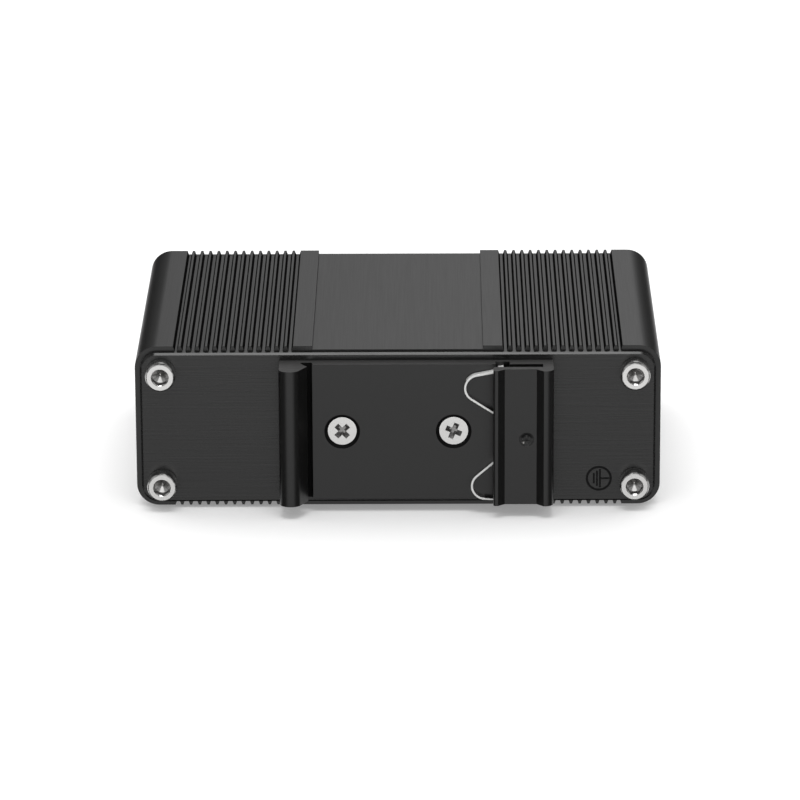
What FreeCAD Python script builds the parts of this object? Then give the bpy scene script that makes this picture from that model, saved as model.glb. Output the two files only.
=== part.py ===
import FreeCAD, Part
import math
import os

# Rail-mounted media converter, in millimetres. X runs across the unit, Y from the rear (rail clip)
# to the front (ports), Z is up. The underside's ribs stand on Z = 0.

# Housing extrusion
width = 94.4
height = 30.0
length = 60.8
corner_radius = 4.0
side_wall = 1.8
finned_wall = 1.6               # solid wall behind the fins
panel_half = 15.3               # half width of the flat panel in the middle of a finned face
panel_drop = 0.65               # the panel lies this far below the ribs
broad_rib_end = 18.75
fin_count = 13                  # on each side of a finned face
fin_first = 20.1
fin_last = 39.1
fin_height = 1.0
fin_base = 1.05
fin_tip = 0.4
block_start = 40.3              # the plain corner begins here
groove_draft = 0.33             # lean of the ribs' and blocks' walls

# End plates and their corner screws
plate_thickness = 1.25
plate_inset = 0.95
plate_edge = 0.35
screw_x = 42.5
screw_z = 10.4                  # above and below the middle
port_radius = 3.0               # round wall of each screw port in the extrusion
shank_diameter = 2.9
tapped_hole = 3.0
clearance_hole = 3.2
cap_diameter = 5.5
cap_height = 3.0
hex_across_flats = 2.5
hex_depth = 1.6
corner_screw_length = 9.0

# Rail clip: U is the distance out from the rear plate's face
clip_height = 25.4
clip_left = -21.25
clip_right = 27.85
seat_u = 2.5                    # face that the rail lies on
hook_peak_u = 7.1
hook_round = 1.9
hook_brow_x = -18.05            # the rounded back turns down here to the tip
hook_tip_x = -16.15
hook_tip_u = 3.7
hook_tip_round = 0.15
hook_root_x = -17.75            # the hook's sloping underside wedges the rail's edge
relief_end_x = -15.3
relief_depth = 1.15
relief_round = 0.4
slot_left = 17.5                # groove that takes the spring's end tabs
slot_right = 20.0
slot_floor_u = 0.9
channel_u = 4.2                 # underside of the channel's front wall
front_wall_u = 5.7
lip_x = 17.05                   # the channel's free edge
lip_peak_u = 6.7
lip_crest = 0.85
lip_slope = 1.2
lip_under_round = 0.8
lip_round = 0.45
bar_wall_x = 25.95
bar_peak_u = 6.95
bar_crest_x = 26.05
bar_slope = 1.25
bar_round = 1.45

# Clip screws, spring strip and pin
clip_screw_x = 10.0
clip_screw_hole = 3.4
countersink = 6.4
flat_head = 5.5
clip_screw_length = 7.0
cross_span = 3.2
cross_width = 0.8
cross_depth = 1.0
cross_turns = (45.0, 60.0)      # how each cross happens to stand
pin_x = 23.0
pin_diameter = 2.55
pin_drop = 0.45                 # the pin sits a little below the clip's middle
pin_sunk = 0.12                 # the pin's end lies below the channel's face
strip_thickness = 0.4
strip_width = 1.3
strip_gap = 0.05                # between the strip's middle and the pin that it leans on
apex_radius = 2.75
bend_radius = 2.43
upper_bend = (14.48, 8.95, 11.0) # X, distance from the pin's middle, slope of its leg in degrees
lower_bend = (15.68, 9.45, 3.5)  # the strip doesn't lie quite evenly
leg_end_x = 19.0
tab_length = 1.1

# Main board
board_thickness = 1.6
board_under = 8.2               # underside of the board above Z = 0
board_half = 44.6
board_clearance = 0.1
board_rail = 1.0                # rails above and below each board slot
board_rail_inner = 43.0
board_setback = 0.4             # from the front plate

# Front ports: each stands on the board and looks out through the front plate
port_gap = 0.2                  # around each port in the plate
jack_x = -26.0
jack_size = (16.0, 21.3, 13.5)
jack_proud = 0.4
jack_sheet = 0.4
plug_width = 11.8
plug_height = 6.8
plug_depth = 13.0
latch_slot = (6.2, 1.5)
latch_notch = (3.2, 0.9)
contact_count = 8
contact_pitch = 1.02
contact_width = 0.46
contact_drop = 1.8
contact_setback = 4.0
cage_x = -4.0
cage_size = (14.9, 48.5, 9.8)
cage_proud = 0.8
cage_sheet = 0.4
edge_connector = (11.8, 8.5, 5.6)
edge_slot = (10.4, 6.0, 1.2)
catch_width = 2.6               # three-cornered hole that holds a module's catch
catch_length = 2.2
catch_setback = 3.0
header_x = 25.0
header_size = (16.0, 12.0, 8.6)
header_wall = 0.9
header_depth = 8.6
header_pitch = 5.08
header_pins = 3
header_pin = 1.0
header_pin_reach = 4.0
key_slot = (1.3, 3.0)           # coding slots in the header's upper wall
light_x = 10.0
light_count = 4
light_pitch = 3.4
light_first_z = 13.0
light_first_back = 3.0          # behind the front plate's inner face
light_section = 2.4
light_proud = 0.4
light_bar = 0.8
led_size = (2.0, 2.4, 1.0)

# Other parts on the board: middle in X and distance behind the front plate, then size
chip_place = (24.0, 42.0)
chip_size = (14.0, 14.0, 1.6)
crystal_place = (10.0, 44.0)
crystal_size = (11.4, 4.7, 3.6)
transformer_back = 30.0
transformer_size = (13.0, 10.0, 6.0)
regulator_place = (11.0, 31.0)
regulator_size = (10.0, 9.0, 4.4)
inductor_place = (25.0, 24.0)
inductor_size = (12.0, 12.0, 6.5)
fuse_place = (38.0, 5.0)
fuse_size = (2.8, 6.4, 2.8)
suppressor_x = 37.0
suppressor_backs = (36.0, 42.0)
suppressor_size = (4.6, 3.6, 2.3)
capacitor_x = 37.0
capacitor_backs = (15.0, 21.0, 27.0)
capacitor_size = (7.3, 4.3, 4.0)
small_chamfer = 0.4
broad_chamfer = 2.0

# Frame worked out from the above
middle_z = height / 2
pin_z = middle_z - pin_drop
clip_reach = plate_thickness + hook_peak_u
rear_end = (clip_reach - length - plate_thickness - cap_height) / 2
front_end = rear_end + length
rear_face = rear_end - plate_thickness
front_face = front_end + plate_thickness
board_top = board_under + board_thickness


def vec(x, y, z):
    return FreeCAD.Vector(x, y, z)


# A box given by its middle in X, its nearest Y, its lowest Z and its size
def block(x, y, z, size):
    return Part.makeBox(size[0], size[1], size[2], vec(x - size[0] / 2, y, z))


# A round bar that starts at a point and runs along a direction
def rod(diameter, span, start, along):
    return Part.makeCylinder(diameter / 2, span, start, along)


# One closed face from runs of two points (a line) or three (an arc)
def face_from(runs):
    edges = []
    for run in runs:
        curve = Part.LineSegment(*run) if len(run) == 2 else Part.Arc(*run)
        edges.append(curve.toShape())
    return Part.Face(Part.Wire(Part.__sortEdges__(edges)))


# Straight edges that run along one axis, for rounding
def edges_along(shape, axis):
    chosen = []
    for edge in shape.Edges:
        straight = isinstance(edge.Curve, (Part.Line, Part.LineSegment))
        if straight and abs(edge.tangentAt(edge.FirstParameter).dot(axis)) > 0.999:
            chosen.append(edge)
    return chosen


# Closed outline through corners (x, y, rounding), as runs of lines and arcs
def rounded_runs(corners):
    runs, ends = [], []
    for number, (x, y, rounding) in enumerate(corners):
        corner = vec(x, y, 0)
        back = vec(*corners[number - 1][:2], 0) - corner
        ahead = vec(*corners[(number + 1) % len(corners)][:2], 0) - corner
        back.normalize()
        ahead.normalize()
        half = back.getAngle(ahead) / 2
        cut = rounding / math.tan(half)
        first, last = corner + back * cut, corner + ahead * cut
        if rounding:
            inward = back + ahead
            inward.normalize()
            middle = corner + inward * (rounding / math.sin(half) - rounding)
            runs.append((first, middle, last))
        ends.append((first, last))
    for number, (first, last) in enumerate(ends):
        runs.append((ends[number - 1][1], first))
    return runs


# Closed polygon through points
def polygon_face(points):
    return Part.Face(Part.makePolygon(points + points[:1]))


# Right-hand top quarter of the extrusion's outline, as (x, z) runs from the panel to the side
def outline_quarter():
    valley = height - fin_height
    panel = height - panel_drop
    runs = [((0, panel), (panel_half, panel)), ((panel_half, panel), (panel_half, height))]
    runs.append(((panel_half, height), (broad_rib_end, height)))
    here = (broad_rib_end + groove_draft, valley)
    runs.append(((broad_rib_end, height), here))
    pitch = (fin_last - fin_first) / (fin_count - 1)
    for number in range(fin_count):
        x = fin_first + number * pitch
        foot = (x - fin_base / 2, valley)
        tip = (x - fin_tip / 2, height)
        far_tip = (x + fin_tip / 2, height)
        far_foot = (x + fin_base / 2, valley)
        runs += [(here, foot), (foot, tip), (tip, far_tip), (far_tip, far_foot)]
        here = far_foot
    block_foot = (block_start - groove_draft, valley)
    bend = width / 2 - corner_radius
    middle = corner_radius * math.sqrt(0.5)
    corner = ((bend, height), (bend + middle, height - corner_radius + middle),
              (width / 2, height - corner_radius))
    runs.append((here, block_foot))
    runs.append((block_foot, (block_start, height)))
    runs.append(((block_start, height), corner[0]))
    runs.append(corner)
    runs.append((corner[2], (width / 2, middle_z)))
    return runs


# Points of the four corner screws on a plane of constant Y
def corner_points(y):
    signs = ((-1, 1), (1, 1), (-1, -1), (1, -1))
    return [vec(a * screw_x, y, middle_z + b * screw_z) for a, b in signs]


# Inside of the extrusion: open box less the screw ports and the rails of the board slots
def housing_cavity():
    wall = fin_height + finned_wall
    inside_half = width / 2 - side_wall
    size = (2 * inside_half, length, height - 2 * wall)
    cavity = block(0, rear_end, wall, size)
    for point in corner_points(rear_end):
        cavity = cavity.cut(rod(2 * port_radius, length, point, vec(0, 1, 0)))
    rail_span = inside_half - board_rail_inner
    for side in (-1, 1):
        rail_x = side * (inside_half + board_rail_inner) / 2
        for low in (board_under - board_rail, board_top + board_clearance):
            cavity = cavity.cut(block(rail_x, rear_end, low, (rail_span, length, board_rail)))
    return cavity


def housing_shell():
    runs = []
    for side in (-1, 1):
        for level in (-1, 1):
            for run in outline_quarter():
                points = [(side * x, middle_z + level * (z - middle_z)) for x, z in run]
                runs.append([vec(x, rear_end, z) for x, z in points])
    shell = face_from(runs).extrude(vec(0, length, 0)).removeSplitter()
    shell = shell.cut(housing_cavity())
    for point in corner_points(rear_end):
        shell = shell.cut(rod(tapped_hole, length, point, vec(0, 1, 0)))
    return shell


# Blank end plate with rounded corners, a chamfered outer edge and four clearance holes
def end_plate(inner_y, outward):
    outer_y = inner_y + outward * plate_thickness
    size = (width - 2 * plate_inset, plate_thickness, height - 2 * plate_inset)
    plate = block(0, min(inner_y, outer_y), plate_inset, size)
    plate = plate.makeFillet(corner_radius - plate_inset, edges_along(plate, vec(0, 1, 0)))
    outer_face = [face for face in plate.Faces if abs(face.CenterOfMass.y - outer_y) < 0.01][0]
    plate = plate.makeChamfer(plate_edge, outer_face.Edges)
    for point in corner_points(inner_y):
        plate = plate.cut(rod(clearance_hole, plate_thickness, point, vec(0, outward, 0)))
    return plate


def rear_plate():
    plate = end_plate(rear_end, -1)
    for side in (-1, 1):
        start = vec(side * clip_screw_x, rear_face, middle_z)
        plate = plate.cut(rod(tapped_hole, plate_thickness, start, vec(0, 1, 0)))
    return plate


# Hole in the front plate for a port that stands on the board
def port_hole(x, size):
    clear = (size[0] + 2 * port_gap, plate_thickness, size[2] + 2 * port_gap)
    return block(x, front_end, board_top - port_gap, clear)


def front_plate():
    plate = end_plate(front_end, 1)
    for x, size in ((jack_x, jack_size), (cage_x, cage_size), (header_x, header_size)):
        plate = plate.cut(port_hole(x, size))
    window = light_section + 2 * port_gap
    for y, z in light_places():
        plate = plate.cut(block(light_x, front_end, z - window / 2, (window, plate_thickness, window)))
    return plate


# Socket-head cap screw that stands on Z = 0 with its shank below
def cap_screw():
    head = Part.makeCylinder(cap_diameter / 2, cap_height)
    reach = hex_across_flats / math.sqrt(3)
    corners = []
    for number in range(6):
        turn = math.radians(60 * number)
        corners.append(vec(reach * math.cos(turn), reach * math.sin(turn), cap_height - hex_depth))
    head = head.cut(polygon_face(corners).extrude(vec(0, 0, hex_depth)))
    shank = rod(shank_diameter, corner_screw_length, vec(0, 0, 0), vec(0, 0, -1))
    return head.fuse(shank).removeSplitter()


# Countersunk screw with its head's face on Z = 0
def flat_screw(cross_turn):
    head_r = flat_head / 2
    shank_r = shank_diameter / 2
    outline = [(0, 0), (head_r, 0), (shank_r, shank_r - head_r), (shank_r, -clip_screw_length)]
    outline.append((0, -clip_screw_length))
    screw = polygon_face([vec(r, 0, z) for r, z in outline]).revolve(vec(0, 0, 0), vec(0, 0, 1), 360)
    cross = block(0, -cross_width / 2, -cross_depth, (cross_span, cross_width, cross_depth))
    cross = cross.fuse(block(0, -cross_span / 2, -cross_depth, (cross_width, cross_span, cross_depth)))
    cross.rotate(vec(0, 0, 0), vec(0, 0, 1), cross_turn)
    return screw.cut(cross)


# Turns a screw that stands along Z to face the rear (-1) or the front (1), and puts it at a point
def facing(screw, outward, point):
    turned = screw.copy()
    turned.rotate(vec(0, 0, 0), vec(1, 0, 0), -90 * outward)
    turned.translate(point)
    return turned


def corner_screws(face_y, outward):
    screw = cap_screw()
    return Part.makeCompound([facing(screw, outward, point) for point in corner_points(face_y)])


# Point on the clip's section: X across, U out from the rear plate
def clip_point(x, u, z=middle_z - clip_height / 2):
    return vec(x, rear_face - u, z)


# The clip is one extrusion: hook, rail seat, spring groove and channel, cut to length along Z
def clip_section():
    relief_u = seat_u - relief_depth
    lip_end = lip_x + lip_crest
    hook = [(clip_left, 0, 0), (clip_left, hook_peak_u, hook_round), (hook_brow_x, hook_peak_u, hook_round),
            (hook_tip_x, hook_tip_u, hook_tip_round)]
    seat = [(hook_root_x, relief_u, relief_round), (relief_end_x, relief_u, relief_round),
            (relief_end_x, seat_u, 0), (slot_left, seat_u, 0)]
    groove = [(slot_left, slot_floor_u, 0), (slot_right, slot_floor_u, 0), (slot_right, seat_u, 0)]
    channel = [(bar_wall_x, seat_u, 0), (bar_wall_x, channel_u, 0), (lip_x, channel_u, lip_under_round),
               (lip_x, lip_peak_u, lip_round), (lip_end, lip_peak_u, 0),
               (lip_end + lip_slope, front_wall_u, 0), (bar_crest_x - bar_slope, front_wall_u, 0)]
    bar = [(bar_crest_x, bar_peak_u, 0), (clip_right, bar_peak_u, bar_round), (clip_right, 0, 0)]
    runs = rounded_runs(hook + seat + groove + channel + bar)
    return face_from([[clip_point(point.x, point.y) for point in run] for run in runs])


def din_clip():
    clip = clip_section().extrude(vec(0, 0, clip_height))
    inward = vec(0, 1, 0)
    hole_r = clip_screw_hole / 2
    sink_r = countersink / 2
    for side in (-1, 1):
        seat = clip_point(side * clip_screw_x, seat_u, middle_z)
        clip = clip.cut(rod(clip_screw_hole, seat_u, seat, inward))
        clip = clip.cut(Part.makeCone(sink_r, hole_r, sink_r - hole_r, seat, inward))
    pin_hole = rod(pin_diameter, front_wall_u, clip_point(pin_x, front_wall_u, pin_z), inward)
    return clip.cut(pin_hole)


def clip_screws():
    head_u = seat_u - (countersink - flat_head) / 2
    screws = []
    for side, turn in zip((-1, 1), cross_turns):
        screws.append(facing(flat_screw(turn), -1, clip_point(side * clip_screw_x, head_u, middle_z)))
    return Part.makeCompound(screws)


# Pin through the channel's front wall into the base
def spring_pin():
    return rod(pin_diameter, front_wall_u - pin_sunk, clip_point(pin_x, 0, pin_z), vec(0, -1, 0))


# Half of the strip's middle line as (x, z) points out from the pin's middle: the arm leaves the
# round apex on a line that touches both the apex and the bend, then the leg runs back to the groove
def strip_half(apex_x, bend):
    bend_x, bend_z, leg_rise = bend
    across = math.hypot(bend_x - apex_x, bend_z)
    heading = math.atan2(bend_z, bend_x - apex_x) + math.asin((apex_radius + bend_radius) / across)
    normal = (math.sin(heading), -math.cos(heading))
    leaves_apex = (apex_x + apex_radius * normal[0], apex_radius * normal[1])
    meets_bend = (bend_x - bend_radius * normal[0], bend_z - bend_radius * normal[1])
    rise = math.radians(leg_rise)
    bend_start = math.atan2(-normal[1], -normal[0]) % (2 * math.pi)
    bend_end = math.pi / 2 + rise
    half_way = (bend_start + bend_end) / 2
    turn, leaves_bend = [(bend_x + bend_radius * math.cos(angle), bend_z + bend_radius * math.sin(angle))
                         for angle in (half_way, bend_end)]
    leg_end = (leg_end_x, leaves_bend[1] + (leg_end_x - leaves_bend[0]) * math.tan(rise))
    return leaves_apex, meets_bend, turn, leaves_bend, leg_end


def clip_spring():
    apex_end = pin_x - pin_diameter / 2 - strip_gap - strip_thickness / 2
    apex_x = apex_end - apex_radius
    upper = [clip_point(x, seat_u, pin_z + z) for x, z in strip_half(apex_x, upper_bend)]
    lower = [clip_point(x, seat_u, pin_z - z) for x, z in strip_half(apex_x, lower_bend)]
    apex = clip_point(apex_end, seat_u, pin_z)
    runs = [(lower[4], lower[3]), (lower[3], lower[2], lower[1]), (lower[1], lower[0]),
            (lower[0], apex, upper[0]), (upper[0], upper[1]), (upper[1], upper[2], upper[3]),
            (upper[3], upper[4])]
    edges = [(Part.LineSegment(*run) if len(run) == 2 else Part.Arc(*run)).toShape() for run in runs]
    rise = math.radians(lower_bend[2])
    half = vec(math.sin(rise), 0, math.cos(rise)) * (strip_thickness / 2)
    out = vec(0, -strip_width, 0)
    start = lower[4]
    across = [start - half, start + half, start + half + out, start - half + out]
    section = Part.makePolygon(across + across[:1])
    spring = Part.Wire(edges).makePipeShell([section], True, False)
    depth = seat_u - slot_floor_u
    for end, slope in ((lower[4], lower_bend[2]), (upper[4], -upper_bend[2])):
        tab = Part.makeBox(tab_length, depth + strip_width, strip_thickness,
                           vec(-tab_length, -strip_width, -strip_thickness / 2))
        tab.rotate(vec(0, 0, 0), vec(0, 1, 0), slope)
        tab.translate(end)
        spring = spring.fuse(tab)
    return spring.removeSplitter()


def main_board():
    size = (2 * board_half, length - 2 * board_setback, board_thickness)
    board = block(0, rear_end + board_setback, board_under, size)
    tail = (header_pin, header_pin, board_thickness)
    for x in header_pin_places():
        board = board.cut(block(x, header_tail_y() - header_pin / 2, board_under, tail))
    return board


# Lowest corner of a port: its mouth stands proud of the front plate
def port_start(size, proud):
    return front_face + proud - size[1]


# Space inside the jack's shield: its back in Y and its size
def jack_inside():
    size = (jack_size[0] - 2 * jack_sheet, jack_size[1] - jack_sheet, jack_size[2] - 2 * jack_sheet)
    return port_start(jack_size, jack_proud) + jack_sheet, size


def ethernet_jack_shield():
    back, inside = jack_inside()
    shield = block(jack_x, back - jack_sheet, board_top, jack_size)
    return shield.cut(block(jack_x, back, board_top + jack_sheet, inside))


# Floor of the plug's way in, above the slot for the plug's latch
def plug_floor():
    return board_top + (jack_size[2] - plug_height + latch_slot[1]) / 2


def ethernet_jack_insert():
    back, inside = jack_inside()
    insert = block(jack_x, back, board_top + jack_sheet, inside)
    plug_back = back + inside[1] - plug_depth
    floor = plug_floor()
    insert = insert.cut(block(jack_x, plug_back, floor, (plug_width, plug_depth, plug_height)))
    for wide, deep in (latch_slot, latch_notch):
        floor -= deep
        insert = insert.cut(block(jack_x, plug_back, floor, (wide, plug_depth, deep)))
    return insert


# Spring contacts that slope down from the roof of the plug's way in to its back wall
def ethernet_jack_contacts():
    mouth = front_face + jack_proud
    back = mouth - plug_depth
    roof = plug_floor() + plug_height
    contacts = []
    for number in range(contact_count):
        x = jack_x + (number - (contact_count - 1) / 2) * contact_pitch - contact_width / 2
        top = vec(x, mouth - contact_setback, roof)
        low = vec(x, back, roof - contact_drop)
        lift = vec(0, 0, contact_width)
        side = polygon_face([top, top - lift, low - lift, low])
        contacts.append(side.extrude(vec(contact_width, 0, 0)))
    return Part.makeCompound(contacts)


def fibre_cage():
    start = port_start(cage_size, cage_proud)
    cage = block(cage_x, start, board_top, cage_size)
    inside = [cage_size[0] - 2 * cage_sheet, cage_size[1] - cage_sheet, cage_size[2] - 2 * cage_sheet]
    cage = cage.cut(block(cage_x, start + cage_sheet, board_top + cage_sheet, inside))
    window = (edge_connector[0] + 2 * port_gap, edge_connector[1] + 2 * port_gap, cage_sheet)
    cage = cage.cut(block(cage_x, start + 2 * cage_sheet, board_top, window))
    catch_y = front_face + cage_proud - catch_setback
    half = catch_width / 2
    catch = [(cage_x - half, catch_y), (cage_x + half, catch_y), (cage_x, catch_y - catch_length)]
    return cage.cut(polygon_face([vec(x, y, board_top) for x, y in catch]).extrude(vec(0, 0, cage_sheet)))


def fibre_connector():
    start = port_start(cage_size, cage_proud) + 2 * cage_sheet + port_gap
    body = block(cage_x, start, board_top, edge_connector)
    slot_z = board_top + (edge_connector[2] - edge_slot[2]) / 2
    return body.cut(block(cage_x, start + edge_connector[1] - edge_slot[1], slot_z, edge_slot))


def header_pin_places():
    return [header_x + (number - (header_pins - 1) / 2) * header_pitch for number in range(header_pins)]


def header_tail_y():
    return port_start(header_size, 0) - header_pin


def power_header():
    start = port_start(header_size, 0)
    body = block(header_x, start, board_top, header_size)
    way_in = (header_size[0] - 2 * header_wall, header_depth, header_size[2] - 2 * header_wall)
    body = body.cut(block(header_x, front_face - header_depth, board_top + header_wall, way_in))
    pin_z = board_top + header_size[2] / 2 - header_pin / 2
    pin_hole = (header_pin, header_size[1] - header_depth, header_pin)
    slot = (key_slot[0], key_slot[1], header_wall)
    slot_z = board_top + header_size[2] - header_wall
    for x in header_pin_places():
        body = body.cut(block(x, start, pin_z, pin_hole))
        body = body.cut(block(x, front_face - key_slot[1], slot_z, slot))
    return body


# Square pins, bent down behind the header into the board
def power_header_pins():
    pin_z = board_top + header_size[2] / 2 - header_pin / 2
    tail_y = header_tail_y()
    reach = front_face - header_depth + header_pin_reach - tail_y + header_pin / 2
    pins = []
    for x in header_pin_places():
        level = block(x, tail_y - header_pin / 2, pin_z, (header_pin, reach, header_pin))
        tail_size = (header_pin, header_pin, pin_z - board_under + header_pin)
        tail = block(x, tail_y - header_pin / 2, board_under, tail_size)
        pins.append(level.fuse(tail).removeSplitter())
    return Part.makeCompound(pins)


# Places of the lamps on the board: the higher a light stands, the further back its lamp
def light_places():
    places = []
    for number in range(light_count):
        z = light_first_z + number * light_pitch
        y = front_end - light_first_back - number * light_pitch
        places.append((y, z))
    return places


# Clear moulding: four square pipes that turn the lamps' light through a mirror corner, joined by a bar
def light_pipes():
    half = light_section / 2
    foot = board_top + led_size[2]
    window_y = front_face + light_proud
    places = light_places()
    back, front = places[-1][0], places[0][0]
    pipes = block(light_x, back, foot, (light_section, front - back, light_bar))
    for y, z in places:
        side = [(y - half, foot), (y + half, foot), (y + half, z - half), (window_y, z - half),
                (window_y, z + half), (y + half, z + half), (y - half, z - half)]
        pipe = polygon_face([vec(light_x - half, a, b) for a, b in side])
        pipes = pipes.fuse(pipe.extrude(vec(light_section, 0, 0)))
    return pipes.removeSplitter()


def status_leds():
    lamps = [block(light_x, y - led_size[1] / 2, board_top, led_size) for y, z in light_places()]
    return Part.makeCompound(lamps)


# A moulded part on the board, with its upright edges chamfered
def board_part(place, size, chamfer):
    part = block(place[0], front_end - place[1] - size[1] / 2, board_top, size)
    return part.makeChamfer(chamfer, edges_along(part, vec(0, 0, 1)))


def converter_chip():
    return board_part(chip_place, chip_size, small_chamfer)


def clock_crystal():
    return board_part(crystal_place, crystal_size, broad_chamfer)


def line_transformer():
    return board_part((jack_x, transformer_back), transformer_size, small_chamfer)


def voltage_regulator():
    return board_part(regulator_place, regulator_size, small_chamfer)


def power_inductor():
    return board_part(inductor_place, inductor_size, broad_chamfer)


def input_fuse():
    return board_part(fuse_place, fuse_size, small_chamfer)


# Like parts in a row at one X
def board_row(x, backs, size):
    return Part.makeCompound([board_part((x, back), size, small_chamfer) for back in backs])


def surge_suppressors():
    return board_row(suppressor_x, suppressor_backs, suppressor_size)


def input_capacitors():
    return board_row(capacitor_x, capacitor_backs, capacitor_size)


nodes = {
    "housing_shell": housing_shell(),
    "rear_plate": rear_plate(),
    "front_plate": front_plate(),
    "rear_plate_screws": corner_screws(rear_face, -1),
    "front_plate_screws": corner_screws(front_face, 1),
    "din_clip": din_clip(),
    "clip_screws": clip_screws(),
    "clip_spring": clip_spring(),
    "spring_pin": spring_pin(),
    "main_board": main_board(),
    "ethernet_jack_shield": ethernet_jack_shield(),
    "ethernet_jack_insert": ethernet_jack_insert(),
    "ethernet_jack_contacts": ethernet_jack_contacts(),
    "fibre_cage": fibre_cage(),
    "fibre_connector": fibre_connector(),
    "power_header": power_header(),
    "power_header_pins": power_header_pins(),
    "light_pipes": light_pipes(),
    "status_leds": status_leds(),
    "converter_chip": converter_chip(),
    "clock_crystal": clock_crystal(),
    "line_transformer": line_transformer(),
    "voltage_regulator": voltage_regulator(),
    "power_inductor": power_inductor(),
    "input_fuse": input_fuse(),
    "surge_suppressors": surge_suppressors(),
    "input_capacitors": input_capacitors(),
}

os.makedirs("parts", exist_ok=True)
for name, shape in nodes.items():
    shape.exportStep(os.path.join("parts", name + ".step"))
    print(name, "solids", len(shape.Solids), "volume", round(shape.Volume, 2), "valid", shape.isValid())
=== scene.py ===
import math
import bpy
from mathutils import Euler, Matrix, Vector


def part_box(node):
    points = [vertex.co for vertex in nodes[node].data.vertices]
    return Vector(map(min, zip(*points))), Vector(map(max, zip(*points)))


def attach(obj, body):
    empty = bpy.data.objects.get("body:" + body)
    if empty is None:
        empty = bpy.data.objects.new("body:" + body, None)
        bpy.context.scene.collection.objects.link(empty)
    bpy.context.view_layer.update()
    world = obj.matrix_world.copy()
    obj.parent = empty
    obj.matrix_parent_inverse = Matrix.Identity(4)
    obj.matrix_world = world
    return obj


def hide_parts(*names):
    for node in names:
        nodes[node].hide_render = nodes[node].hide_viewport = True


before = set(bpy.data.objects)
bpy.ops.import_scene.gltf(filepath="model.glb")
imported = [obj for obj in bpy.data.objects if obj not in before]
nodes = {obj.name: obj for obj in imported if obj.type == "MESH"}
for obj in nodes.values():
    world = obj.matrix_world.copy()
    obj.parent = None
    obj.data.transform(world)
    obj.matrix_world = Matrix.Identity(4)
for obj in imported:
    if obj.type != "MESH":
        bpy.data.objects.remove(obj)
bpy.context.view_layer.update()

mm = 0.001
scene = bpy.context.scene
scene.view_settings.view_transform = "Standard"
print("frame loaded with", len(nodes), "nodes")


# shader maths: a socket that can be added, multiplied and so on
class Wire:
    def __init__(self, tree, socket):
        self.tree = tree
        self.socket = socket

    def node(self, kind, settings, sockets, out=0):  # any node, its settings first
        made = self.tree.nodes.new(kind)
        for name, value in settings.items():
            setattr(made, name, value)
        for name, value in sockets.items():
            if isinstance(value, Wire):
                self.tree.links.new(value.socket, made.inputs[name])
            else:
                made.inputs[name].default_value = value
        return Wire(self.tree, made.outputs[out])

    def maths(self, operation, first, second=0.0):
        return self.node("ShaderNodeMath", {"operation": operation}, {0: first, 1: second})

    def __add__(self, other):
        return self.maths("ADD", self, other)

    def __radd__(self, other):
        return self.maths("ADD", other, self)

    def __sub__(self, other):
        return self.maths("SUBTRACT", self, other)

    def __rsub__(self, other):
        return self.maths("SUBTRACT", other, self)

    def __mul__(self, other):
        return self.maths("MULTIPLY", self, other)

    def __rmul__(self, other):
        return self.maths("MULTIPLY", other, self)

    def __abs__(self):
        return self.maths("ABSOLUTE", self)

    def largest(self, other):
        return self.maths("MAXIMUM", self, other)

    def axis(self, name):  # one part of a vector
        return self.node("ShaderNodeSeparateXYZ", {}, {"Vector": self}, name)

    def ease(self, low, high, least=0.0, most=1.0):  # smooth step from least to most
        return self.node("ShaderNodeMapRange", {"interpolation_type": "SMOOTHSTEP"},
                         {"Value": self, "From Min": low, "From Max": high, "To Min": least, "To Max": most})

    def noise(self, scale, stretch=(1, 1, 1), detail=2.0, roughness=0.5):
        spread = self.node("ShaderNodeMapping", {}, {"Vector": self, "Scale": stretch})
        return self.node("ShaderNodeTexNoise", {}, {"Vector": spread, "Scale": scale, "Detail": detail,
                                                    "Roughness": roughness})

    def blend(self, first, second):  # colour mix by this value; 6, 7 and 2 are Mix's colour sockets
        return self.node("ShaderNodeMix", {"data_type": "RGBA"}, {0: self, 6: first, 7: second}, 2)

    def bump(self, strength, depth):  # depth in mm
        return self.node("ShaderNodeBump", {},
                         {"Height": self, "Strength": strength, "Distance": depth * mm}, "Normal")


# a Principled material; returns it with its shader and its Object coordinates
def startFinish(name, **fixed):
    material = bpy.data.materials.new(name)
    material.use_nodes = True
    tree = material.node_tree
    shader = tree.nodes["Principled BSDF"]
    for socket, value in fixed.items():
        shader.inputs[socket.replace("_", " ")].default_value = value
    place = Wire(tree, tree.nodes.new("ShaderNodeTexCoord").outputs["Object"])
    return material, shader, place


def feed(shader, **wires):  # links what varies over the surface
    for socket, wire in wires.items():
        wire.tree.links.new(wire.socket, shader.inputs[socket.replace("_", " ")])


def grey(level, warm=0.0):
    return (level * (1 + warm), level, level * (1 - warm), 1.0)


def tones(look):  # a finish's darker and lighter colour
    return (*look["shade"], 1), (*look["colour"], 1)


noiseSpan = (0.3, 0.7)  # most values of a noise lie between these

# black anodised aluminium: grain says which way the drawing, brushing or blasting runs
anodisedLooks = {
    "housing": {"dark": 0.0050, "light": 0.0075, "rough": (0.28, 0.32),
                "grain": (1, 0.012, 1), "scale": 5200, "lift": 0.03},
    "plate": {"dark": 0.0040, "light": 0.0090, "rough": (0.21, 0.29),
              "grain": (0.02, 1, 1), "scale": 3600, "lift": 0.30},
    "clip": {"dark": 0.0042, "light": 0.0062, "rough": (0.28, 0.36),
             "grain": (1, 1, 1), "scale": 4200, "lift": 0.12},
    # painted light: the clip's cut end faces, much paler than the rest, as if lit
    "paintedLightEnd": {"dark": 0.0300, "light": 0.0460, "rough": (0.42, 0.55),
             "grain": (0.08, 1, 1), "scale": 5000, "lift": 0.25},
}
anodisedDye = {"cloudScale": 60, "grainShare": 0.6, "cloudShare": 0.4, "warmth": 0.02, "grainDepth": 0.02}


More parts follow.
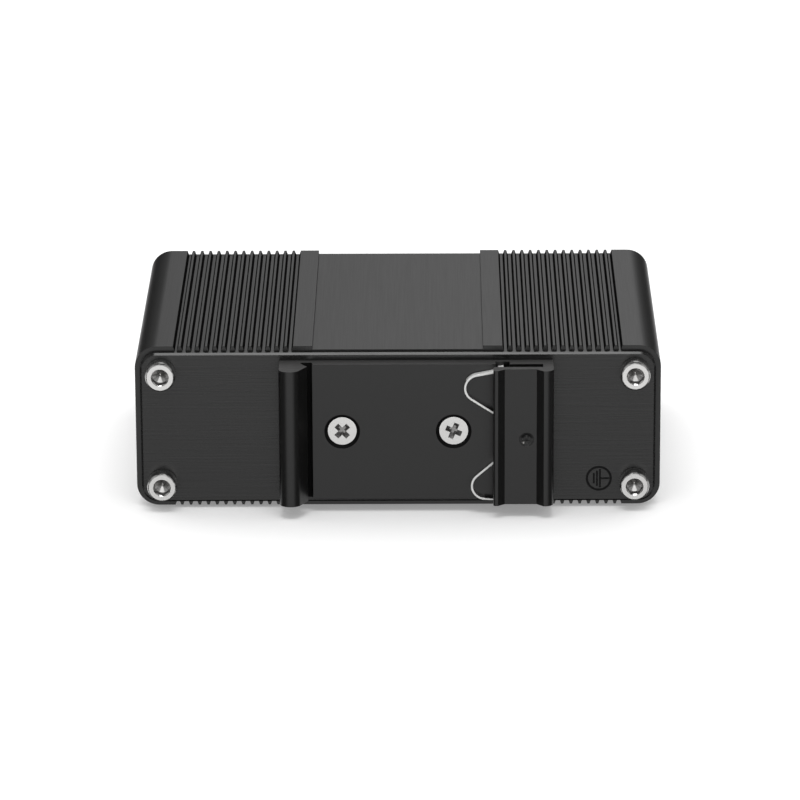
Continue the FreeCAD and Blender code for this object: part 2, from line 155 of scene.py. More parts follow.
def anodisedFinish(name):
    look, dye = anodisedLooks[name], anodisedDye
    material, shader, place = startFinish("anodised_" + name)
    grain = place.noise(look["scale"], look["grain"], detail=3.0, roughness=0.6)
    cloud = place.noise(dye["cloudScale"], detail=3.0)  # faint uneven dye
    mixed = dye["grainShare"] * grain + dye["cloudShare"] * cloud
    feed(shader, Base_Color=mixed.blend(grey(look["dark"]), grey(look["light"], dye["warmth"])),
         Roughness=grain.ease(*noiseSpan, *look["rough"]),
         Normal=grain.bump(look["lift"], dye["grainDepth"]))
    return material


# bright metals: colour pair, roughness range, streak direction
metalLooks = {
    "screwSteel": {"colour": (0.70, 0.695, 0.685), "shade": (0.60, 0.595, 0.585),
                   "rough": (0.15, 0.26), "grain": (1, 1, 1), "scale": 1400},
    # darker steel: painted shade in the hex sockets and cross recesses, and the bare metal of the pin's nick
    "shadedRecessAndBareSteel": {"colour": (0.44, 0.435, 0.43), "shade": (0.26, 0.255, 0.25),
                    "rough": (0.42, 0.58), "grain": (1, 1, 1), "scale": 1400},
    "drilledSteel": {"colour": (0.60, 0.595, 0.585), "shade": (0.48, 0.475, 0.47),
                     "rough": (0.16, 0.24), "grain": (1, 1, 1), "scale": 1400},
    "knurledSteel": {"colour": (0.66, 0.655, 0.645), "shade": (0.52, 0.515, 0.505),
                     "rough": (0.42, 0.55), "grain": (1, 1, 1), "scale": 1400, "metal": 0.75},
    "springSteel": {"colour": (0.86, 0.86, 0.85), "shade": (0.76, 0.76, 0.75),
                    "rough": (0.40, 0.52), "grain": (1, 0.05, 1), "scale": 1800, "metal": 0.45},
    "nickelSheet": {"colour": (0.66, 0.65, 0.61), "shade": (0.56, 0.55, 0.52),
                    "rough": (0.22, 0.36), "grain": (1, 0.03, 1), "scale": 1500},
    "giltContact": {"colour": (0.86, 0.62, 0.24), "shade": (0.74, 0.50, 0.18),
                    "rough": (0.16, 0.26), "grain": (1, 0.1, 1), "scale": 1600},
    "drawnCan": {"colour": (0.70, 0.70, 0.72), "shade": (0.60, 0.60, 0.62),
                 "rough": (0.20, 0.34), "grain": (0.1, 1, 1), "scale": 1300},
}
metalWear = {"smudgeScale": 220, "tint": (0.5, 0.5), "dull": (0.6, 0.4),  # shares of streak and smudge
             "lift": 0.06, "depth": 0.01}


def metalFinish(name):
    look, wear = metalLooks[name], metalWear
    material, shader, place = startFinish(name, Metallic=look.get("metal", 1.0))
    streak = place.noise(look["scale"], look["grain"], detail=3.0, roughness=0.6)
    smudge = place.noise(wear["smudgeScale"], detail=2.0)
    tint, dull = [a * streak + b * smudge for a, b in (wear["tint"], wear["dull"])]
    feed(shader, Base_Color=tint.blend(*tones(look)),
         Roughness=dull.ease(*noiseSpan, *look["rough"]),
         Normal=streak.bump(wear["lift"], wear["depth"]))
    return material


# mouldings: colour pair, roughness range, grain of the mould's spark finish
mouldLooks = {
    "blackMoulding": {"colour": (0.020, 0.020, 0.021), "shade": (0.012, 0.012, 0.013),
                      "rough": (0.42, 0.58), "scale": 3000},
    "greenMoulding": {"colour": (0.055, 0.33, 0.13), "shade": (0.040, 0.26, 0.10),
                      "rough": (0.38, 0.52), "scale": 3000},
    "whiteCeramic": {"colour": (0.86, 0.85, 0.81), "shade": (0.78, 0.77, 0.73),
                     "rough": (0.28, 0.40), "scale": 1500},
    "chipMoulding": {"colour": (0.028, 0.028, 0.031), "shade": (0.020, 0.020, 0.022),
                     "rough": (0.55, 0.70), "scale": 4000},
    "sinteredFerrite": {"colour": (0.10, 0.10, 0.105), "shade": (0.07, 0.07, 0.075),
                        "rough": (0.60, 0.75), "scale": 5000},
}
mouldGrain = {"flowScale": 90, "sparkShare": 0.4, "flowShare": 0.6, "lift": 0.12, "depth": 0.02}


def mouldFinish(name):
    look, mould = mouldLooks[name], mouldGrain
    material, shader, place = startFinish(name)
    spark = place.noise(look["scale"], detail=2.0)
    flow = place.noise(mould["flowScale"], detail=3.0)  # slow change of tone
    feed(shader, Base_Color=(mould["sparkShare"] * spark + mould["flowShare"] * flow).blend(*tones(look)),
         Roughness=spark.ease(*noiseSpan, *look["rough"]),
         Normal=spark.bump(mould["lift"], mould["depth"]))
    return material


# blackened steel, worn bright where the punch struck
pinLook = {"dark": 0.035, "bright": 0.13, "worn": (0.60, 0.72), "rough": (0.34, 0.50),
           "scale": 1500, "lift": 0.3, "depth": 0.03}


def pinFinish():
    look = pinLook
    material, shader, place = startFinish("blackenedPin", Metallic=1.0)
    pits = place.noise(look["scale"], detail=3.0, roughness=0.65)
    feed(shader, Base_Color=pits.ease(*look["worn"]).blend(grey(look["dark"]), grey(look["bright"])),
         Roughness=pits.ease(*noiseSpan, *look["rough"]),
         Normal=pits.bump(look["lift"], look["depth"]))
    return material


# painted shade for narrow grooves and recesses: a dull, deep black with little gloss, laid where shade falls
grooveLook = {"dark": 0.0030, "light": 0.0075, "rough": (0.60, 0.75), "gloss": 0.06,
              "scale": 2500, "grain": (1, 0.05, 1)}


def grooveFinish():
    look = grooveLook
    material, shader, place = startFinish("grooveBlack", Specular_IOR_Level=look["gloss"])
    dust = place.noise(look["scale"], look["grain"], detail=3.0)
    feed(shader, Base_Color=dust.blend(grey(look["dark"]), grey(look["light"])),
         Roughness=dust.ease(*noiseSpan, *look["rough"]))
    return material


# cut through the dye by the engraver, then sealed dark
signLook = {"dark": 0.0030, "light": 0.0065, "rough": (0.45, 0.60), "gloss": 0.15,
            "scale": 5000, "lift": 0.3, "depth": 0.02}


def signFinish():
    look = signLook
    material, shader, place = startFinish("engravedSign", Specular_IOR_Level=look["gloss"])
    chatter = place.noise(look["scale"], detail=2.0)
    feed(shader, Base_Color=chatter.blend(grey(look["dark"]), grey(look["light"])),
         Roughness=chatter.ease(*noiseSpan, *look["rough"]),
         Normal=chatter.bump(look["lift"], look["depth"]))
    return material


# green mask over faint copper runs, bare glass cloth at the edges
boardLook = {
    "coat": 0.3, "coatRough": 0.15, "lift": 0.3, "depth": 0.02,
    "runScale": 180.0, "runGap": 0.03, "runTones": (0, 0.2, 1),  # two kinds of field and the runs between
    "mask": ((0.012, 0.085, 0.036, 1), (0.030, 0.17, 0.075, 1)),
    "cloth": ((0.42, 0.36, 0.18, 1), (0.55, 0.48, 0.27, 1)), "clothScale": 1800, "weave": (1, 1, 0.3),
    "level": (0.4, 0.6),  # how level a face is where cloth gives way to mask
    "rough": (0.75, 0.35),  # of cloth and of mask
}


def boardFinish():
    look = boardLook
    material, shader, place = startFinish("boardLaminate", Coat_Weight=look["coat"],
                                          Coat_Roughness=look["coatRough"])
    first, second, run = [grey(tone) for tone in look["runTones"]]
    runs = place.node("ShaderNodeTexBrick", {"offset": 0.5},
                      {"Vector": place, "Scale": look["runScale"], "Mortar Size": look["runGap"],
                       "Color1": first, "Color2": second, "Mortar": run}, "Color")
    level = abs(place.node("ShaderNodeNewGeometry", {}, {}, "Normal").axis("Z"))
    mask = runs.blend(*look["mask"])
    cloth = place.noise(look["clothScale"], look["weave"]).blend(*look["cloth"])
    feed(shader, Base_Color=level.ease(*look["level"]).blend(cloth, mask),
         Roughness=level.ease(*look["level"], *look["rough"]),
         Normal=runs.bump(look["lift"], look["depth"]))
    return material


# clear moulding of the light pipes
clearLook = {"bending": 1.49, "through": 0.85, "scale": 300, "flow": (1, 0.3, 1), "rough": (0.06, 0.16),
             "shade": (0.84, 0.87, 0.85), "colour": (0.93, 0.95, 0.93)}


def clearFinish():
    look = clearLook
    material, shader, place = startFinish("clearMoulding", IOR=look["bending"],
                                          Transmission_Weight=look["through"])
    flow = place.noise(look["scale"], look["flow"])
    feed(shader, Base_Color=flow.blend(*tones(look)), Roughness=flow.ease(*noiseSpan, *look["rough"]))
    return material


finishes = {name + "Black": anodisedFinish(name) for name in anodisedLooks}
finishes.update({name: metalFinish(name) for name in metalLooks})
finishes.update({name: mouldFinish(name) for name in mouldLooks})
finishes.update(pin=pinFinish(), groove=grooveFinish(), sign=signFinish(), board=boardFinish(),
                clear=clearFinish())
print("finishes ready:", len(finishes))


# modelling helpers
facing = 0.9  # a face looks along an axis when its normal's part there is over this
aslant = 0.5  # between leaning towards an axis and leaning away
upright = 0.2  # a wall's normal leans less than this
hair = 0.01  # slack in mm where things are chosen by place
sameSpot = 0.002  # points nearer than this in mm are one
sameFlat = 0.5  # faces that turn less than this in degrees are one


def pick(piece):
    bpy.ops.object.select_all(action="DESELECT")
    piece.select_set(True)
    bpy.context.view_layer.objects.active = piece


def choose(piece, kind, test):  # selects points, edges or faces by place and leaves edit mode on
    bpy.ops.object.mode_set(mode="EDIT")
    bpy.ops.mesh.select_mode(type=kind)
    bpy.ops.mesh.select_all(action="DESELECT")
    bpy.ops.object.mode_set(mode="OBJECT")
    mesh = piece.data
    if kind == "VERT":
        for point in mesh.vertices:
            point.select = test(point.co)
    elif kind == "EDGE":
        for edge in mesh.edges:
            edge.select = test(*[mesh.vertices[number].co for number in edge.vertices])
    else:
        for face in mesh.polygons:
            face.select = test(face.center, face.normal)
    bpy.ops.object.mode_set(mode="EDIT")


def pull(height):  # draws the chosen face out along Z
    bpy.ops.mesh.extrude_region_move(TRANSFORM_OT_translate={"value": (0, 0, height * mm)})


def widen(ratio):  # scales what is chosen about the Z axis
    bpy.ops.transform.resize(value=(ratio, ratio, 1), center_override=(0, 0, 0))


def mergeFlats():  # in edit mode: joins doubles and the triangles of flat faces, then leaves it
    bpy.ops.mesh.select_all(action="SELECT")
    bpy.ops.mesh.remove_doubles(threshold=sameSpot * mm)
    bpy.ops.mesh.dissolve_limited(angle_limit=math.radians(sameFlat))
    bpy.ops.object.mode_set(mode="OBJECT")


def settle(piece):  # back to object mode, with place and turn in the mesh
    bpy.ops.object.mode_set(mode="OBJECT")
    pick(piece)
    bpy.ops.object.transform_apply(location=True, rotation=True, scale=True)


def applyLast(piece):
    pick(piece)
    bpy.ops.object.modifier_apply(modifier=piece.modifiers[-1].name)


def soften(piece, edge, limit, steps=2):  # small rounding on sharp edges, flat faces kept flat
    bevel = piece.modifiers.new("Edges", "BEVEL")
    bevel.width = edge * mm
    bevel.segments = steps
    bevel.limit_method = "ANGLE"
    bevel.angle_limit = math.radians(limit)
    applyLast(piece)


def smooth(piece, limit):
    pick(piece)
    bpy.ops.object.shade_smooth_by_angle(angle=math.radians(limit))
    piece.modifiers.new("Normals", "WEIGHTED_NORMAL").keep_sharp = True
    applyLast(piece)


def carve(piece, cutter):
    cut = piece.modifiers.new("Carve", "BOOLEAN")
    cut.object = cutter
    cut.solver = "EXACT"
    cut.material_mode = "TRANSFER"
    applyLast(piece)
    bpy.data.objects.remove(cutter)


def cover(piece, finish):
    piece.data.materials.clear()
    piece.data.materials.append(finishes[finish])


def paint(piece, finish, test):  # gives the faces that pass the test a second finish
    piece.data.materials.append(finishes[finish])
    choose(piece, "FACE", test)
    piece.active_material_index = len(piece.data.materials) - 1
    bpy.ops.object.material_slot_assign()
    bpy.ops.object.mode_set(mode="OBJECT")


def handOver(piece, node):
    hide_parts(node)
    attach(piece, "root")


def copyTo(source, name, place, tilt, turn):  # own mesh, set down where it belongs
    piece = bpy.data.objects.new(name, source.data.copy())
    scene.collection.objects.link(piece)
    piece.location = place
    piece.rotation_euler = (math.radians(tilt), math.radians(turn), 0)
    settle(piece)
    return piece


def nodeCopy(node, name, finish):  # the CAD shape as one merged mesh
    piece = bpy.data.objects.new(name, nodes[node].data.copy())
    scene.collection.objects.link(piece)
    pick(piece)
    bpy.ops.mesh.customdata_custom_splitnormals_clear()
    bpy.ops.object.mode_set(mode="EDIT")
    mergeFlats()
    cover(piece, finish)
    return piece


# sheet, extruded and moulded pieces: the CAD shape with eased edges
plainEdges = {"sharp": 28, "smooth": 50}  # angles from which edges are rounded and shading breaks
plateEdges = {"edge": 0.08, "sharp": 60, "smooth": 30}  # a plate's chamfer stays flat
dressed = {
    "housing_shell": {"name": "finned_housing", "finish": "housingBlack",
                      "slot": "anodised_housing", "edge": 0.08},
    "front_plate": {"name": "front_end_plate", "finish": "plateBlack",
                    "slot": "anodised_plate", **plateEdges},
    "din_clip": {"name": "rail_clip", "finish": "clipBlack", "slot": "anodised_clip", "edge": 0.10},
    "clip_spring": {"name": "spring_strip", "finish": "springSteel", "slot": "spring_steel", "edge": 0.06},
    "ethernet_jack_shield": {"name": "jack_shield", "finish": "nickelSheet",
                             "slot": "shield_sheet", "edge": 0.12},
    "ethernet_jack_insert": {"name": "jack_moulding", "finish": "blackMoulding",
                             "slot": "black_moulding", "edge": 0.10},
    "fibre_cage": {"name": "fibre_slot_cage", "finish": "nickelSheet", "slot": "shield_sheet", "edge": 0.12},
    "power_header": {"name": "power_inlet", "finish": "greenMoulding",
                     "slot": "green_moulding", "edge": 0.12},
    "light_pipes": {"name": "light_pipe_row", "finish": "clear", "slot": "clear_moulding", "edge": 0.10},
}

# where second finishes and the flat underside lie on their pieces, in mm
midHeight = 15  # of the unit as it lies
finArea = {"reach": (15, 40.5), "floor": 13.9}  # floor of the grooves, from the middle height
panelArea = {"reach": 15.4, "height": (0.3, 1.0)}
clipArea = {"base": 2.5, "relief": (-17.9, -15.2), "belowSeat": 0.1, "screwReach": 10, "sink": 3.15}
stripArea = {"litUpperLeg": 24, "slot": 17.2, "pinHeight": 14.6, "tabs": 8}


def inFinGroove(middle, normal):  # walls of the fins and ribs, which get the painted shade
    near, far = finArea["reach"]
    outer = abs(middle.z - midHeight * mm) > finArea["floor"] * mm and near * mm < abs(middle.x) < far * mm
    return outer and abs(normal.x) > facing


def inClipGroove(middle, normal):  # relief under the hook and the countersinks round the screws, which get the painted shade
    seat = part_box("din_clip")[1].y - clipArea["base"] * mm
    start, end = clipArea["relief"]
    sunk = middle.y > seat + clipArea["belowSeat"] * mm
    relief = start * mm < middle.x < end * mm and sunk and abs(normal.z) < aslant
    fromScrew = math.hypot(abs(middle.x) - clipArea["screwReach"] * mm, middle.z - midHeight * mm)
    sink = fromScrew < clipArea["sink"] * mm and normal.y > -facing
    return relief or sink


def onLitSawnEnd(middle, normal):  # where the clip was cut from its bar; these end faces get the paler painted light
    return abs(normal.z) > facing and middle.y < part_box("din_clip")[1].y and not inClipGroove(middle, normal)


def onShadedBroadSide(middle, normal):  # the strip's rolled sides, smoother than its edges, in darker mirror steel as painted shade; the upper leg's lit top keeps the pale steel
    litUpperLeg = middle.z > stripArea["litUpperLeg"] * mm and normal.z > aslant
    return abs(normal.y) < aslant and not litUpperLeg


def inShadedSlot(middle, normal):  # the strip's tabs in the clip's slot, in the blackened pin finish as painted shade
    fromPin = abs(middle.z - stripArea["pinHeight"] * mm)
    return middle.x > stripArea["slot"] * mm and fromPin > stripArea["tabs"] * mm


def closeUnderside(piece):  # the middle of the underside is flat from rib to rib
    low, high = panelArea["height"]
    choose(piece, "VERT", lambda p: abs(p.x) < panelArea["reach"] * mm and low * mm < p.z < high * mm)
    bpy.ops.transform.resize(value=(1, 1, 0), center_override=(0, 0, 0))
    mergeFlats()


# second finishes, each with the test that finds its faces
# painted shade on the fin walls, the hook's relief and the countersinks
seconds = {
    "housing_shell": (("groove", inFinGroove),),
    # painted light on the clip's cut ends
    "din_clip": (("groove", inClipGroove), ("paintedLightEndBlack", onLitSawnEnd)),
    # painted shade: the strip's broad sides in darker mirror steel and its tabs in the slot in blackened steel
    "clip_spring": (("screwSteel", onShadedBroadSide), ("pin", inShadedSlot)),
}
for node, ownLook in dressed.items():
    look = {**plainEdges, **ownLook}
    piece = nodeCopy(node, look["name"], look["finish"])
    if node == "housing_shell":
        closeUnderside(piece)
    soften(piece, look["edge"], look["sharp"])
    for finish, test in seconds.get(node, ()):
        paint(piece, finish, test)
    smooth(piece, look["smooth"])
    handOver(piece, node)
    print("dressed", look["name"], len(piece.data.polygons), "faces")


# rear end plate with the earth sign engraved in it; the sign lies on its side as the unit does
earthSign = {
    "x": 36.15, "z": 5.25, "depth": 0.12,
    "ring": 2.36, "ringSides": 72, "line": 0.42,
    "barLine": 0.34, "bars": ((0.20, 3.5), (-0.34, 2.9), (-0.90, 1.95)),  # offset along X and length
    "stem": (0.20, 1.90),
}


def signCutter(width, height, x):  # a bar that reaches into the plate's face
    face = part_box("rear_plate")[0].y
    place = ((earthSign["x"] + x) * mm, face, earthSign["z"] * mm)
    bpy.ops.mesh.primitive_cube_add(size=1, location=place)
    bar = bpy.context.object
    bar.scale = (width * mm, 2 * earthSign["depth"] * mm, height * mm)
    settle(bar)
    cover(bar, "sign")
    return bar


def ringCutter():
    bpy.ops.mesh.primitive_cylinder_add(vertices=earthSign["ringSides"], radius=earthSign["ring"] * mm,
                                        depth=2 * earthSign["depth"] * mm)
    ring = bpy.context.object
    choose(ring, "FACE", lambda middle, normal: abs(normal.z) > facing)
    bpy.ops.mesh.inset(thickness=earthSign["line"] * mm)
    bpy.ops.mesh.bridge_edge_loops()
    bpy.ops.object.mode_set(mode="OBJECT")
    ring.location = (earthSign["x"] * mm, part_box("rear_plate")[0].y, earthSign["z"] * mm)
    ring.rotation_euler = (math.radians(90), 0, 0)
    settle(ring)
    cover(ring, "sign")
    return ring


def makeRearPlate():
    plate = nodeCopy("rear_plate", "rear_end_plate", "plateBlack")
    soften(plate, plateEdges["edge"], plateEdges["sharp"])
    carve(plate, ringCutter())
    line = earthSign["barLine"]
    for x, length in earthSign["bars"]:
        carve(plate, signCutter(line, length, x))
    start, end = earthSign["stem"]
    carve(plate, signCutter(end - start, line, (start + end) / 2))
    smooth(plate, plateEdges["smooth"])
    handOver(plate, "rear_plate")
    print("engraved", plate.name, len(plate.data.polygons), "faces")


makeRearPlate()


# socket-head corner screws
capScrew = {
    "headRadius": 2.75,  # in CAD
    "knurls": 44, "crest": 2.71, "root": 2.65, "barrel": 2.42, "knurlInside": 2.5,
    "rim": ((2.65, 2.56), (2.60, 2.75), (2.50, 2.90), (2.35, 3.00)),  # radius and height of the rounded rim
    "entry": ((1.60, 3.00), (1.39, 2.79)),  # chamfer round the socket
    "flats": 2.76, "socketDepth": 1.55,
    "drill": 1.36, "drillTip": 0.1, "drillPoint": 0.74, "drillSides": 48,
    "under": 0.22, "shank": 1.45, "shankLength": 9.0, "smooth": 22,
    "turns": (12, 41, 55, 27),
}


def grow(radius, height, newRadius, newHeight):  # pulls the chosen face out and to a new radius
    pull(newHeight - height)
    widen(newRadius / radius)


def makeHead():  # knurled head with its shank, not yet drilled
    size = capScrew
    root = size["root"]
    sides = 2 * size["knurls"]
    bpy.ops.mesh.primitive_cylinder_add(vertices=sides, radius=size["crest"] * mm, depth=size["barrel"] * mm,
                                        location=(0, 0, size["barrel"] * mm / 2))
    screw = bpy.context.object
    settle(screw)
    ratio = root / size["crest"]
    choose(screw, "VERT", lambda p: round(math.atan2(p.y, p.x) * sides / (2 * math.pi)) % 2 == 1)
    widen(ratio)  # every other point: the knurl
    choose(screw, "FACE", lambda middle, normal: normal.z > facing)
    radius, height = size["rim"][0]
    grow(radius, size["barrel"], radius, height)
    choose(screw, "VERT", lambda p: p.z > (height - hair) * mm and p.xy.length > (root + hair) * mm)
    widen(ratio)  # the rim is round again
    choose(screw, "FACE", lambda middle, normal: normal.z > facing and middle.z > (height - hair) * mm)
    for newRadius, newHeight in size["rim"][1:] + size["entry"]:
        grow(radius, height, newRadius, newHeight)
        radius, height = newRadius, newHeight
    choose(screw, "FACE", lambda middle, normal: normal.z < -facing and middle.z < hair * mm)
    bpy.ops.mesh.inset(thickness=(root - size["shank"]) * mm)
    pull(-size["shankLength"])
    choose(screw, "EDGE", lambda a, b: max(abs(a.z), abs(b.z)) < hair * mm
           and min(a.xy.length, b.xy.length) > (root - hair) * mm)
    bpy.ops.mesh.bevel(offset=size["under"] * mm, segments=1)  # dark line where the head meets the plate
    settle(screw)
    return screw


def makeCapScrew():
    size = capScrew
    screw = makeHead()
    top = size["rim"][-1][1]
    floor = top - size["socketDepth"]
    bpy.ops.mesh.primitive_cylinder_add(vertices=6, radius=size["flats"] / math.sqrt(3) * mm,
                                        depth=2 * size["socketDepth"] * mm, location=(0, 0, top * mm))
    socket = bpy.context.object
    settle(socket)
    point = size["drillPoint"]
    bpy.ops.mesh.primitive_cone_add(vertices=size["drillSides"], radius1=size["drillTip"] * mm,
                                    radius2=size["drill"] * mm, depth=point * mm,
                                    location=(0, 0, (floor + hair - point / 2) * mm))
    drill = bpy.context.object
    settle(drill)
    outer, inner = [radius * mm for radius, height in size["entry"]]
    cover(screw, "screwSteel")
    paint(screw, "drilledSteel", lambda middle, normal: inner < middle.xy.length < outer
          and upright < normal.z < facing)  # the entry chamfer
    paint(screw, "knurledSteel", lambda middle, normal: middle.xy.length > size["knurlInside"] * mm
          and abs(normal.z) < upright)
    # the socket walls in darker steel, as painted shade
    cover(socket, "shadedRecessAndBareSteel")
    cover(drill, "drilledSteel")
    carve(screw, socket)
    carve(screw, drill)
    smooth(screw, size["smooth"])
    return screw


def placeCapScrews():
    master = makeCapScrew()
    for node, face, tilt in (("rear_plate_screws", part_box("rear_plate")[0].y, 90),
                             ("front_plate_screws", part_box("front_plate")[1].y, -90)):
        low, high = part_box(node)
        half = (high.z - low.z) / 2 - capScrew["headRadius"] * mm
        reach = (high.x - low.x) / 2 - capScrew["headRadius"] * mm
        middle = (low + high) / 2
        corners = [(a, b) for b in (1, -1) for a in (-1, 1)]
        for number, (a, b) in enumerate(corners):
            place = (middle.x + a * reach, face, middle.z + b * half)
            screw = copyTo(master, node[:-1] + "_" + str(number + 1), place, tilt, capScrew["turns"][number])
            handOver(screw, node)
    bpy.data.objects.remove(master)
    print("corner screws placed")


placeCapScrews()


# countersunk cross-recess screws of the clip
flatScrew = {
    "headRadius": 2.75,  # in CAD
    "head": 2.66, "headSides": 64, "band": 0.12, "shank": 1.45, "coneDepth": 1.28, "length": 7.0, "rim": 0.12,
    "span": 3.15, "arm": 1.02, "depth": 1.05, "taper": 0.45, "above": 0.1,  # the cross, from above the head
    "turns": (46, 23), "smooth": 35,
}


def crossCutter(turn):
    size = flatScrew
    bpy.ops.mesh.primitive_cube_add(size=1, location=(0, 0, (size["above"] - size["depth"]) / 2 * mm))
    arm = bpy.context.object
    arm.scale = (size["span"] * mm, size["arm"] * mm, (size["depth"] + size["above"]) * mm)
    arm.rotation_euler = (0, 0, math.radians(turn))
    settle(arm)
    choose(arm, "FACE", lambda middle, normal: normal.z < -facing)
    widen(size["taper"])
    settle(arm)
    # the cross recess in darker steel, as painted shade
    cover(arm, "shadedRecessAndBareSteel")
    return arm


def makeFlatScrew():
    size = flatScrew
    cone, band = size["coneDepth"], size["band"]
    bpy.ops.mesh.primitive_cone_add(vertices=size["headSides"], radius1=size["shank"] * mm,
                                    radius2=size["head"] * mm, depth=cone * mm,
                                    location=(0, 0, -(cone / 2 + band) * mm))
    screw = bpy.context.object
    settle(screw)
    choose(screw, "FACE", lambda middle, normal: normal.z > facing)
    pull(band)
    choose(screw, "FACE", lambda middle, normal: normal.z < -facing)
    pull(-(size["length"] - cone - band))
    choose(screw, "EDGE", lambda a, b: min(a.z, b.z) > -hair * mm)
    bpy.ops.mesh.bevel(offset=size["rim"] * mm, segments=3)
    settle(screw)
    cover(screw, "screwSteel")
    for turn in (0, 90):
        carve(screw, crossCutter(turn))
    smooth(screw, size["smooth"])
    return screw


def placeFlatScrews():
    master = makeFlatScrew()
    low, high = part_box("clip_screws")
    reach = (high.x - low.x) / 2 - flatScrew["headRadius"] * mm
    for number, a in enumerate((-1, 1)):
        place = ((low.x + high.x) / 2 + a * reach, low.y, (low.z + high.z) / 2)
        screw = copyTo(master, "clip_screw_" + str(number + 1), place, 90, flatScrew["turns"][number])
        handOver(screw, "clip_screws")
    bpy.data.objects.remove(master)
    print("clip screws placed")


placeFlatScrews()


# staked pin of the spring: the punch leaves a rough shallow crater
stakedPin = {
    "sides": 28, "crater": 0.18,
    "steps": ((0.18, 0.0), (0.25, -0.4), (0.30, -0.6), (0.25, 0.35)),  # inset, and drop in crater depths
    "struck": 1.1, "skin": 0.5, "rough": 0.05, "seed": 4,  # radius and depth that the punch roughened
    "nick": (-0.55, -0.62), "nickRadius": 0.3, "smooth": 60,
}


def makePin():
    low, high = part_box("spring_pin")
    length = high.y - low.y
    bpy.ops.mesh.primitive_cylinder_add(vertices=stakedPin["sides"], radius=(high.x - low.x) / 2,
                                        depth=length)
    pin = bpy.context.object
    choose(pin, "FACE", lambda middle, normal: normal.z > facing)
    for thickness, drop in stakedPin["steps"]:
        bpy.ops.mesh.inset(thickness=thickness * mm)
        bpy.ops.transform.translate(value=(0, 0, drop * stakedPin["crater"] * mm))
    skin = length / 2 - stakedPin["skin"] * mm
    choose(pin, "VERT", lambda p: p.z > skin and p.xy.length < stakedPin["struck"] * mm)
    bpy.ops.transform.vertex_random(offset=stakedPin["rough"] * mm, seed=stakedPin["seed"])
    bpy.ops.object.mode_set(mode="OBJECT")
    cover(pin, "pin")
    x, z = stakedPin["nick"]
    bpy.ops.mesh.primitive_uv_sphere_add(segments=20, ring_count=12, radius=stakedPin["nickRadius"] * mm,
                                         location=(x * mm, z * mm, length / 2))
    nick = bpy.context.object
    settle(nick)
    cover(nick, "shadedRecessAndBareSteel")  # bare metal where the punch slipped
    carve(pin, nick)
    pin.name = "staked_pin"
    pin.location = (low + high) / 2
    pin.rotation_euler = (math.radians(90), 0, 0)
    settle(pin)
    smooth(pin, stakedPin["smooth"])
    handOver(pin, "spring_pin")
    print("pin staked")


makePin()


# board parts stay as they are in CAD, with their own finishes
boardFinishes = {
    "main_board": "board", "ethernet_jack_contacts": "giltContact", "fibre_connector": "blackMoulding",
    "power_header_pins": "giltContact", "status_leds": "whiteCeramic", "converter_chip": "chipMoulding",
    "clock_crystal": "drawnCan", "line_transformer": "chipMoulding", "voltage_regulator": "chipMoulding",
    "power_inductor": "sinteredFerrite", "input_fuse": "whiteCeramic", "surge_suppressors": "chipMoulding",
    "input_capacitors": "chipMoulding",
}
for node, finish in boardFinishes.items():
    cover(nodes[node], finish)
print("board finished")


# pale floor, white for the camera, that keeps the shadow
paleFloor = {"size": 6, "drop": 0.2, "levels": (0.86, 1.0), "glow": 0.26}


def makeFloor():
    bpy.ops.mesh.primitive_plane_add(size=paleFloor["size"], location=(0, 0, -paleFloor["drop"] * mm))
    floor = bpy.context.object
    floor.name = "floor"
    material = bpy.data.materials.new("paleFloor")
    material.use_nodes = True
    tree = material.node_tree
    tree.nodes.remove(tree.nodes["Principled BSDF"])
    seen = Wire(tree, tree.nodes.new("ShaderNodeLightPath").outputs["Is Camera Ray"])
    tone = seen.blend(*[grey(level) for level in paleFloor["levels"]])
    paper = seen.node("ShaderNodeBsdfDiffuse", {}, {"Color": tone})
    white = seen.node("ShaderNodeEmission", {}, {"Color": grey(1), "Strength": 1.0})
    surface = seen.node("ShaderNodeMixShader", {}, {0: seen * paleFloor["glow"], 1: paper, 2: white})
    tree.links.new(surface.socket, tree.nodes["Material Output"].inputs["Surface"])
    floor.data.materials.append(material)
    floor.visible_glossy = False


# white cards round the unit: each is a product of fades, and a fade has the way it runs along,
# where it starts and ends, and its levels there, which are 0 and 1 if none are given
studio = {
    "cards": {  # what gloss sees
        "front": (("near", 0.58, 0.94), ("rise", -0.42, -0.20, 0.2, 1.74), ("rise", 0.02, 0.35, 1, 0.08)),
        "back": (("far", 0.45, 0.88), ("rise", 0.10, 0.42, 0.10, 0.88),
                 ("across", -0.17, 0.03, 0.27, 1.08), ("across", 0.10, 0.28, 1, 0.35)),
        "high": (("near", 0.55, 0.75), ("rise", 0.40, 0.55, 0, 1.6), ("rise", 0.66, 0.80, 1, 0),
                 ("across", -0.46, -0.26), ("across", 0.26, 0.46, 1, 0)),
        # light for the other sides, which the photo's view hardly sees
        "low": (("far", 0.1, 0.5), ("rise", -0.62, -0.45), ("rise", -0.29, -0.08, 0.9, 0)),
        "lowWings": (("aside", 0.60, 0.82, 0, 0.5), ("rise", -0.60, -0.46, 1, 0)),
        "wings": (("aside", 0.60, 0.82, 0, 0.5), ("rise", -0.20, -0.10), ("rise", 0.02, 0.12, 1, 0)),
        "dome": (("aside", 0.35, 0.60), ("far", 0.3, 0.6, 1, 0), ("rise", 0.12, 0.40, 0, 0.4)),
    },
    "between": 0.018,  # what gloss sees between the cards
    "ambient": (("far", -0.5, 0.6, 0.45, 1.45), ("rise", 0.1, 0.8, 0.6, 1.3)),  # what dull surfaces see
    "boxSize": (0.6, 0.4), "boxPlace": (0, -0.36, 1.1), "boxRadiance": 5.8,
}


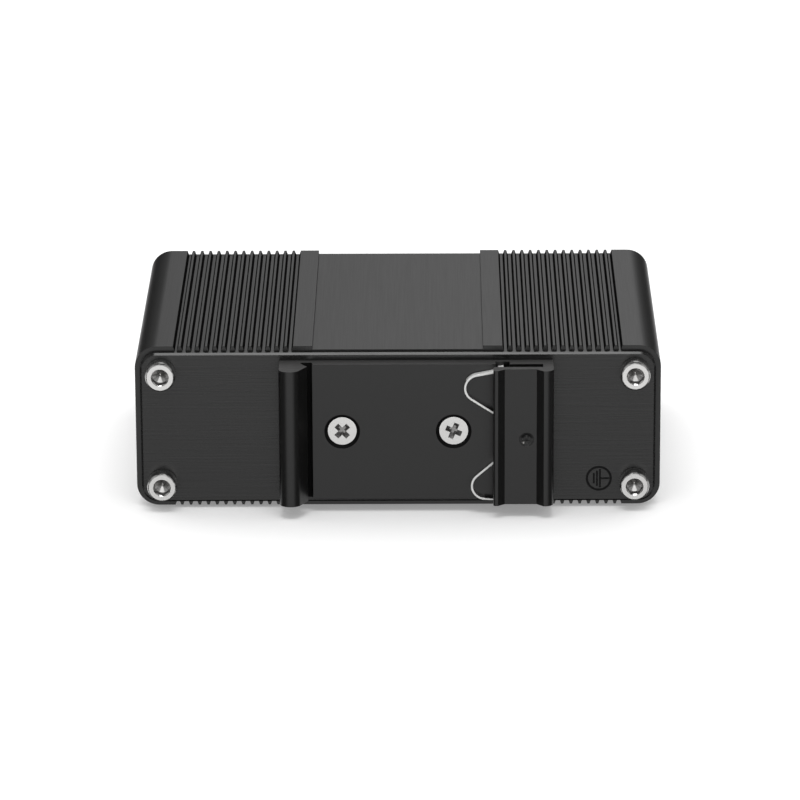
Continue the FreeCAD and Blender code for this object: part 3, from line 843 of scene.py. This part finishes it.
def makeWorld():
    world = bpy.data.worlds.new("studio")
    world.use_nodes = True
    scene.world = world
    world.cycles.sampling_method = "NONE"
    tree = world.node_tree
    rays = tree.nodes.new("ShaderNodeLightPath").outputs
    rayNames = ("Is Camera Ray", "Is Glossy Ray", "Is Transmission Ray")
    seen, glossy, through = [Wire(tree, rays[name]) for name in rayNames]
    direction = Wire(tree, tree.nodes.new("ShaderNodeTexCoord").outputs["Generated"])
    across, far, rise = [direction.axis(name) for name in "XYZ"]
    ways = {"across": across, "aside": abs(across), "far": far, "near": 0 - far, "rise": rise}

    def card(fades):
        return math.prod(ways[way].ease(*span) for way, *span in fades)

    room = sum((card(fades) for fades in studio["cards"].values()), studio["between"])
    mirror = glossy.largest(through)
    strength = seen + (1 - seen) * (mirror * room + (1 - mirror) * card(studio["ambient"]))
    tree.links.new(strength.socket, tree.nodes["Background"].inputs["Strength"])
    tree.nodes["Background"].inputs["Color"].default_value = grey(1)


def makeLamp():
    bpy.ops.object.light_add(type="AREA", location=studio["boxPlace"])
    lamp = bpy.context.object
    lamp.name = "overhead_box"
    lamp.data.shape = "RECTANGLE"
    lamp.data.size, lamp.data.size_y = studio["boxSize"]
    lamp.data.energy = studio["boxRadiance"] * math.pi * lamp.data.size * lamp.data.size_y
    lamp.rotation_euler = (-Vector(studio["boxPlace"])).to_track_quat("-Z", "Y").to_euler()
    lamp.visible_camera = False


# camera: long lens, looking down on the rear plate
camera = {
    "lens": 233.7, "sensor": 36, "distance": 934, "pitch": 17.99, "round": 0.387, "roll": -0.282,
    "target": (0.365, 19.534), "behind": 2,  # X and Z, behind the rear plate's face
    "farthest": 20,  # in metres
}


def makeCamera():
    turn = Euler((math.radians(90 - camera["pitch"]), 0, math.radians(camera["round"]))).to_matrix()
    away = turn @ Vector((0, 0, camera["distance"] * mm))
    x, z = camera["target"]
    target = Vector((x * mm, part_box("rear_plate")[0].y + camera["behind"] * mm, z * mm))
    bpy.ops.object.camera_add(location=target + away)
    eye = bpy.context.object
    eye.rotation_euler = (turn @ Matrix.Rotation(math.radians(camera["roll"]), 3, "Z")).to_euler()
    eye.data.lens = camera["lens"]
    eye.data.sensor_width = camera["sensor"]
    eye.data.clip_end = camera["farthest"]
    scene.camera = eye


makeFloor()
makeWorld()
makeLamp()
makeCamera()
print("studio and camera set")

bpy.context.view_layer.update()
